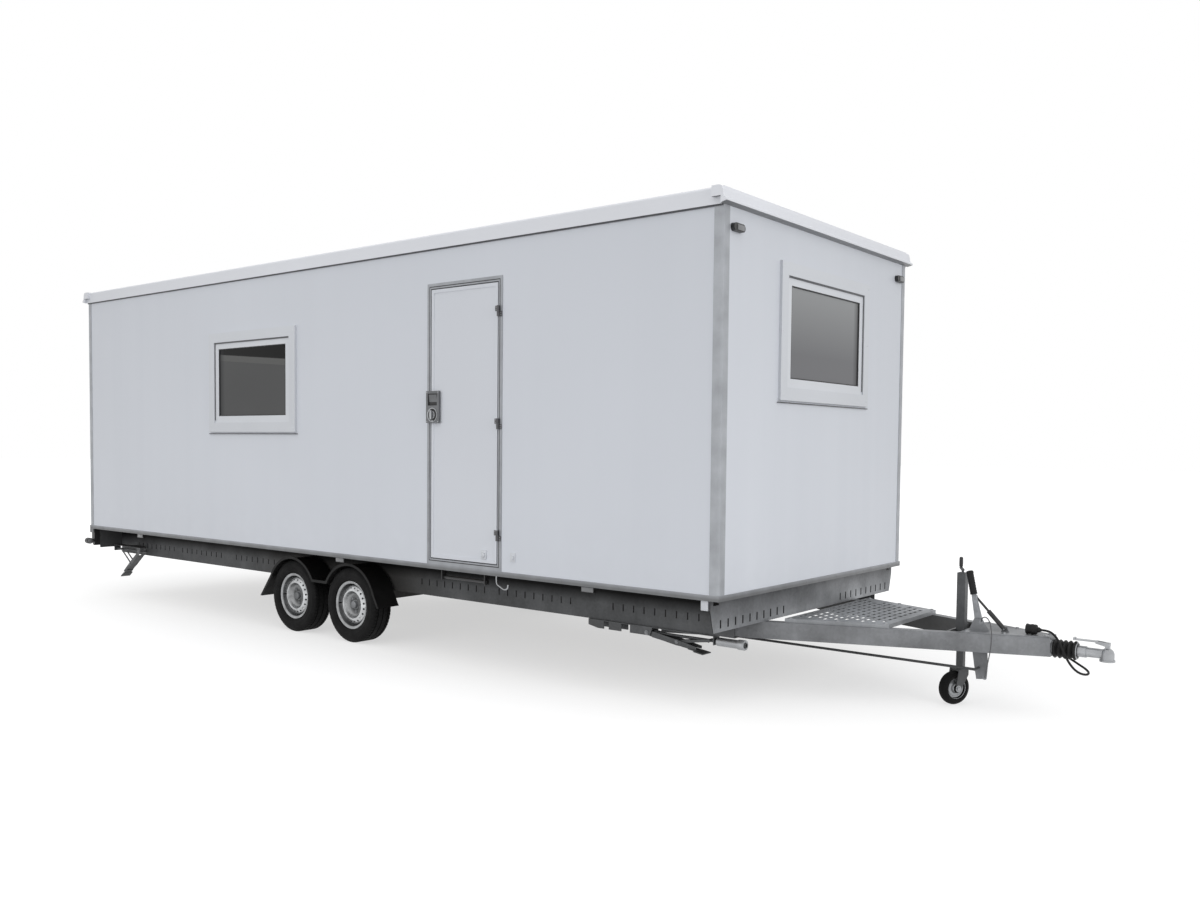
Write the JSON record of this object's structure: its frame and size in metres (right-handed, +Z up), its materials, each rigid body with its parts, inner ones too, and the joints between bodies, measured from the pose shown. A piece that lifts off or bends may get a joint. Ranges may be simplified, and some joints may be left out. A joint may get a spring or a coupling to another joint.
{
  "type": "mobile site cabin on a twin-axle trailer",
  "caption": "Long site cabin with panel walls, side door and framed windows, carried on a braked twin-axle trailer chassis with drawbar, jockey wheel and corner steadies.",
  "frame": {"origin": "on the ground under the middle of the whole trailer's box", "axes": "+X forward along the drawbar to the coupling, -Y the side with the door, +Z up"},
  "size_m": [9.164, 2.6322, 2.97],
  "materials": {
    "wall_panel": "coated sheet, satin",
    "door_panel": "coated sheet, satin",
    "roof_sheet": "coated sheet, satin",
    "floor_board": "coated board",
    "edge_strip": "mill",
    "corner_profile": "anodised",
    "frame_profile": "anodised",
    "hinge_black": "satin",
    "white_plastic": "satin",
    "lock_metal": "satin",
    "glazing": "tinted",
    "lamp_plastic": "moulded",
    "galvanised": "hot-dip galvanised",
    "chassis_steel": "hot-dip galvanised",
    "guard_plastic": "moulded",
    "tyre_rubber": "moulded",
    "rim_silver": "silver enamel",
    "bellows_rubber": "moulded",
    "strut_black": "satin",
    "cable_sheath": "clear coated wire"
  },
  "bodies": {
    "cabin": {"floor_panel": "floor_board", "floor_edge": "edge_strip", "front_wall": "wall_panel", "rear_wall": "wall_panel", "far_side_wall": "wall_panel", "door_wall_rear": "wall_panel", "door_wall_front": "wall_panel", "door_header": "wall_panel", "corner_posts": "corner_profile", "roof": "roof_sheet", "door_frame": "frame_profile", "frame_hinges": "hinge_black", "wall_catch": "white_plastic", "window_trims": "white_plastic", "window_sashes": "white_plastic", "window_panes": "glazing", "marker_lights": "lamp_plastic", "rear_lamps": "lamp_plastic", "side_rails": "chassis_steel", "front_cross_rail": "galvanised", "cross_members": "chassis_steel", "drawbar_beams": "galvanised", "drawbar_step": "galvanised", "axles": "chassis_steel", "mudguards": "guard_plastic", "steady_brackets": "chassis_steel", "jockey_post": "galvanised", "overrun_housing": "galvanised", "bellows": "bellows_rubber", "brake_rod": "chassis_steel", "lead_plug": "bellows_rubber", "tow_lead": "bellows_rubber", "breakaway_cable": "cable_sheath"},
    "door": {"door_leaf": "door_panel", "leaf_hinges": "hinge_black", "door_fittings": "lock_metal"},
    "wheel_front_near": {"tyre_front_near": "tyre_rubber", "rim_front_near": "rim_silver"},
    "wheel_front_far": {"tyre_front_far": "tyre_rubber", "rim_front_far": "rim_silver"},
    "wheel_rear_near": {"tyre_rear_near": "tyre_rubber", "rim_rear_near": "rim_silver"},
    "wheel_rear_far": {"tyre_rear_far": "tyre_rubber", "rim_rear_far": "rim_silver"},
    "leg_front_near": {"steady_leg_front_near": "chassis_steel"},
    "leg_strut_front_near": {"steady_strut_front_near": "galvanised"},
    "leg_front_far": {"steady_leg_front_far": "chassis_steel"},
    "leg_strut_front_far": {"steady_strut_front_far": "galvanised"},
    "leg_rear_near": {"steady_leg_rear_near": "chassis_steel"},
    "leg_strut_rear_near": {"steady_strut_rear_near": "galvanised"},
    "leg_rear_far": {"steady_leg_rear_far": "chassis_steel"},
    "leg_strut_rear_far": {"steady_strut_rear_far": "galvanised"},
    "jockey_tube": {"jockey_tube": "galvanised"},
    "jockey_fork": {"jockey_fork": "galvanised"},
    "jockey_wheel": {"jockey_wheel": "tyre_rubber"},
    "coupling": {"coupling_head": "galvanised"},
    "coupling_lever": {"coupling_lever": "galvanised"},
    "handbrake": {"handbrake_lever": "galvanised"},
    "strut_barrel": {"strut_barrel": "strut_black"},
    "strut_rod": {"strut_rod": "galvanised"}
  },
  "joints": [
    {"name": "door_hinge", "type": "hinge", "parent": "cabin", "child": "door", "pos_m": [1.081, -1.267, 1.7], "axis": [0, 0, 1], "range_deg": [0, 165]},
    {"name": "wheel_front_near_spin", "type": "hinge", "parent": "cabin", "child": "wheel_front_near", "pos_m": [-0.559, -1.0975, 0.288], "axis": [0, 1, 0], "continuous": true},
    {"name": "wheel_front_far_spin", "type": "hinge", "parent": "cabin", "child": "wheel_front_far", "pos_m": [-0.559, 1.0975, 0.288], "axis": [0, 1, 0], "continuous": true},
    {"name": "wheel_rear_near_spin", "type": "hinge", "parent": "cabin", "child": "wheel_rear_near", "pos_m": [-1.284, -1.0975, 0.288], "axis": [0, 1, 0], "continuous": true},
    {"name": "wheel_rear_far_spin", "type": "hinge", "parent": "cabin", "child": "wheel_rear_far", "pos_m": [-1.284, 1.0975, 0.288], "axis": [0, 1, 0], "continuous": true},
    {"name": "leg_front_near_swing", "type": "hinge", "parent": "cabin", "child": "leg_front_near", "pos_m": [2.106, -0.945, 0.367], "axis": [0, 1, 0], "range_deg": [-8, 46]},
    {"name": "leg_strut_front_near_turn", "type": "hinge", "parent": "leg_front_near", "child": "leg_strut_front_near", "pos_m": [2.32881, -0.945, 0.33569], "axis": [0, 1, 0], "range_deg": [-92, 16]},
    {"name": "leg_front_far_swing", "type": "hinge", "parent": "cabin", "child": "leg_front_far", "pos_m": [2.106, 0.945, 0.367], "axis": [0, 1, 0], "range_deg": [-8, 46]},
    {"name": "leg_strut_front_far_turn", "type": "hinge", "parent": "leg_front_far", "child": "leg_strut_front_far", "pos_m": [2.32881, 0.945, 0.33569], "axis": [0, 1, 0], "range_deg": [-92, 16]},
    {"name": "leg_rear_near_swing", "type": "hinge", "parent": "cabin", "child": "leg_rear_near", "pos_m": [-3.902, -1.06, 0.455], "axis": [0, -1, 0], "range_deg": [-35, 27]},
    {"name": "leg_strut_rear_near_turn", "type": "hinge", "parent": "leg_rear_near", "child": "leg_strut_rear_near", "pos_m": [-4.08631, -1.06, 0.32594], "axis": [0, -1, 0], "range_deg": [-54, 70]},
    {"name": "leg_rear_far_swing", "type": "hinge", "parent": "cabin", "child": "leg_rear_far", "pos_m": [-3.902, 1.06, 0.455], "axis": [0, -1, 0], "range_deg": [-35, 27]},
    {"name": "leg_strut_rear_far_turn", "type": "hinge", "parent": "leg_rear_far", "child": "leg_strut_rear_far", "pos_m": [-4.08631, 1.06, 0.32594], "axis": [0, -1, 0], "range_deg": [-54, 70]},
    {"name": "jockey_slide", "type": "slide", "parent": "cabin", "child": "jockey_tube", "axis": [0, 0, 1], "range_m": [-0.08, 0.09]},
    {"name": "jockey_swivel", "type": "hinge", "parent": "jockey_tube", "child": "jockey_fork", "pos_m": [3.726, 0, 0.222], "axis": [0, 0, 1], "continuous": true},
    {"name": "jockey_spin", "type": "hinge", "parent": "jockey_fork", "child": "jockey_wheel", "pos_m": [3.703, -0.03984, 0.1], "axis": [-0.866, 0.5, 0], "continuous": true},
    {"name": "overrun_slide", "type": "slide", "parent": "cabin", "child": "coupling", "axis": [-1, 0, 0], "range_m": [0, 0.06], "deforming": ["bellows"]},
    {"name": "coupling_lever_lift", "type": "hinge", "parent": "coupling", "child": "coupling_lever", "pos_m": [4.541, 0, 0.457], "axis": [0, 1, 0], "range_deg": [0, 45]},
    {"name": "handbrake_pull", "type": "hinge", "parent": "cabin", "child": "handbrake", "pos_m": [3.861, -0.09368, 0.525], "axis": [0, 1, 0], "range_deg": [0, 50]},
    {"name": "strut_barrel_turn", "type": "hinge", "parent": "cabin", "child": "strut_barrel", "pos_m": [4.00169, -0.07268, 0.48992], "axis": [0, 1, 0], "range_deg": [0, 25]},
    {"name": "strut_rod_turn", "type": "hinge", "parent": "handbrake", "child": "strut_rod", "pos_m": [3.83085, -0.07268, 0.66683], "axis": [0, 1, 0], "range_deg": [-25, 0]}
  ],
  "couplings": [
    {"joint": "leg_strut_front_near_turn", "follows": "leg_front_near_swing", "ratio": -2},
    {"joint": "leg_strut_front_far_turn", "follows": "leg_front_far_swing", "ratio": -2},
    {"joint": "leg_strut_rear_near_turn", "follows": "leg_rear_near_swing", "ratio": -2},
    {"joint": "leg_strut_rear_far_turn", "follows": "leg_rear_far_swing", "ratio": -2},
    {"joint": "strut_barrel_turn", "follows": "handbrake_pull", "ratio": 0.5},
    {"joint": "strut_rod_turn", "follows": "handbrake_pull", "ratio": -0.5}
  ]
}
